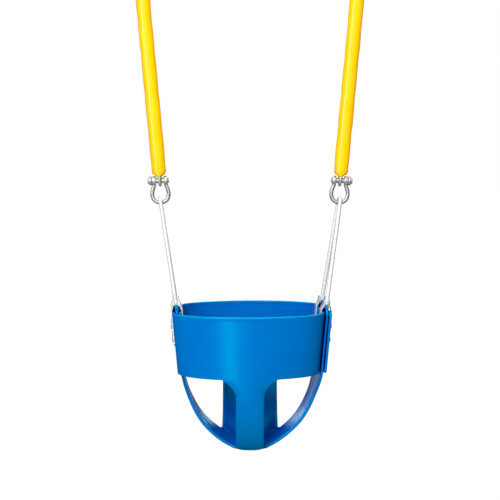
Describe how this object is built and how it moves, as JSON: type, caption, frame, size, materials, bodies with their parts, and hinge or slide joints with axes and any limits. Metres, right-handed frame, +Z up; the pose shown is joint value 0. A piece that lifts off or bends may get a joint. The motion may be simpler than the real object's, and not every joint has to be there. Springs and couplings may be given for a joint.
{
  "type": "toddler bucket swing",
  "caption": "Full-bucket toddler swing: moulded rubber bucket seat with leg openings on bent steel hangers, bow shackles and sleeved chains.",
  "frame": {"origin": "underside of the seat floor, under the middle of the seat", "axes": "+Z up along the hanging direction, +X to the right seen from the front stem, -Y towards the front stem"},
  "size_m": [0.5744, 0.2352, 1.3363],
  "materials": {
    "seat_rubber": "satin moulded",
    "hanger_steel": "bright zinc",
    "plate_steel": "bright zinc",
    "rivet_steel": "bright zinc",
    "shackle_steel": "zinc plated forging",
    "chain_steel": "zinc plated wire",
    "sleeve_vinyl": "glossy dipped vinyl"
  },
  "bodies": {
    "beam_hardware": {"top_shackle_bow_left": "shackle_steel", "top_shackle_pin_left": "shackle_steel", "top_shackle_bow_right": "shackle_steel", "top_shackle_pin_right": "shackle_steel"},
    "chain_left": {"end_link_lower_left": "chain_steel", "sleeved_link_lower_left": "chain_steel", "sleeved_link_upper_left": "chain_steel", "bare_link_upper_left": "chain_steel", "end_link_upper_left": "chain_steel", "chain_core_left": "chain_steel", "chain_sleeve_left": "sleeve_vinyl"},
    "chain_right": {"end_link_lower_right": "chain_steel", "sleeved_link_lower_right": "chain_steel", "sleeved_link_upper_right": "chain_steel", "bare_link_upper_right": "chain_steel", "end_link_upper_right": "chain_steel", "chain_core_right": "chain_steel", "chain_sleeve_right": "sleeve_vinyl"},
    "shackle_left": {"lower_shackle_bow_left": "shackle_steel", "lower_shackle_pin_left": "shackle_steel"},
    "shackle_right": {"lower_shackle_bow_right": "shackle_steel", "lower_shackle_pin_right": "shackle_steel"},
    "seat": {"seat_moulding": "seat_rubber", "plate_left_front_inner": "plate_steel", "plate_left_front_outer": "plate_steel", "rivet_left_front_upper": "rivet_steel", "rivet_left_front_lower": "rivet_steel", "plate_left_rear_inner": "plate_steel", "plate_left_rear_outer": "plate_steel", "rivet_left_rear_upper": "rivet_steel", "rivet_left_rear_lower": "rivet_steel", "hanger_left": "hanger_steel", "plate_right_front_inner": "plate_steel", "plate_right_front_outer": "plate_steel", "rivet_right_front_upper": "rivet_steel", "rivet_right_front_lower": "rivet_steel", "plate_right_rear_inner": "plate_steel", "plate_right_rear_outer": "plate_steel", "rivet_right_rear_upper": "rivet_steel", "rivet_right_rear_lower": "rivet_steel", "hanger_right": "hanger_steel"}
  },
  "joints": [
    {"name": "swing_left", "type": "hinge", "parent": "beam_hardware", "child": "chain_left", "pos_m": [-0.26088, 0, 1.28414], "axis": [1, 0, 0], "range_deg": [-45, 45]},
    {"name": "swing_right", "type": "hinge", "parent": "beam_hardware", "child": "chain_right", "pos_m": [0.26088, 0, 1.28414], "axis": [1, 0, 0], "range_deg": [-45, 45]},
    {"name": "shackle_left_rock", "type": "hinge", "parent": "chain_left", "child": "shackle_left", "pos_m": [-0.1935, 0, 0.5673], "axis": [1, 0, 0], "range_deg": [-25, 25]},
    {"name": "shackle_right_rock", "type": "hinge", "parent": "chain_right", "child": "shackle_right", "pos_m": [0.1935, 0, 0.5673], "axis": [1, 0, 0], "range_deg": [-25, 25]},
    {"name": "seat_rock", "type": "hinge", "parent": "shackle_left", "child": "seat", "pos_m": [-0.1916, 0, 0.5195], "axis": [1, 0, 0], "range_deg": [-25, 25]}
  ],
  "couplings": [
    {"joint": "swing_right", "follows": "swing_left", "ratio": 1},
    {"joint": "shackle_right_rock", "follows": "shackle_left_rock", "ratio": 1}
  ]
}
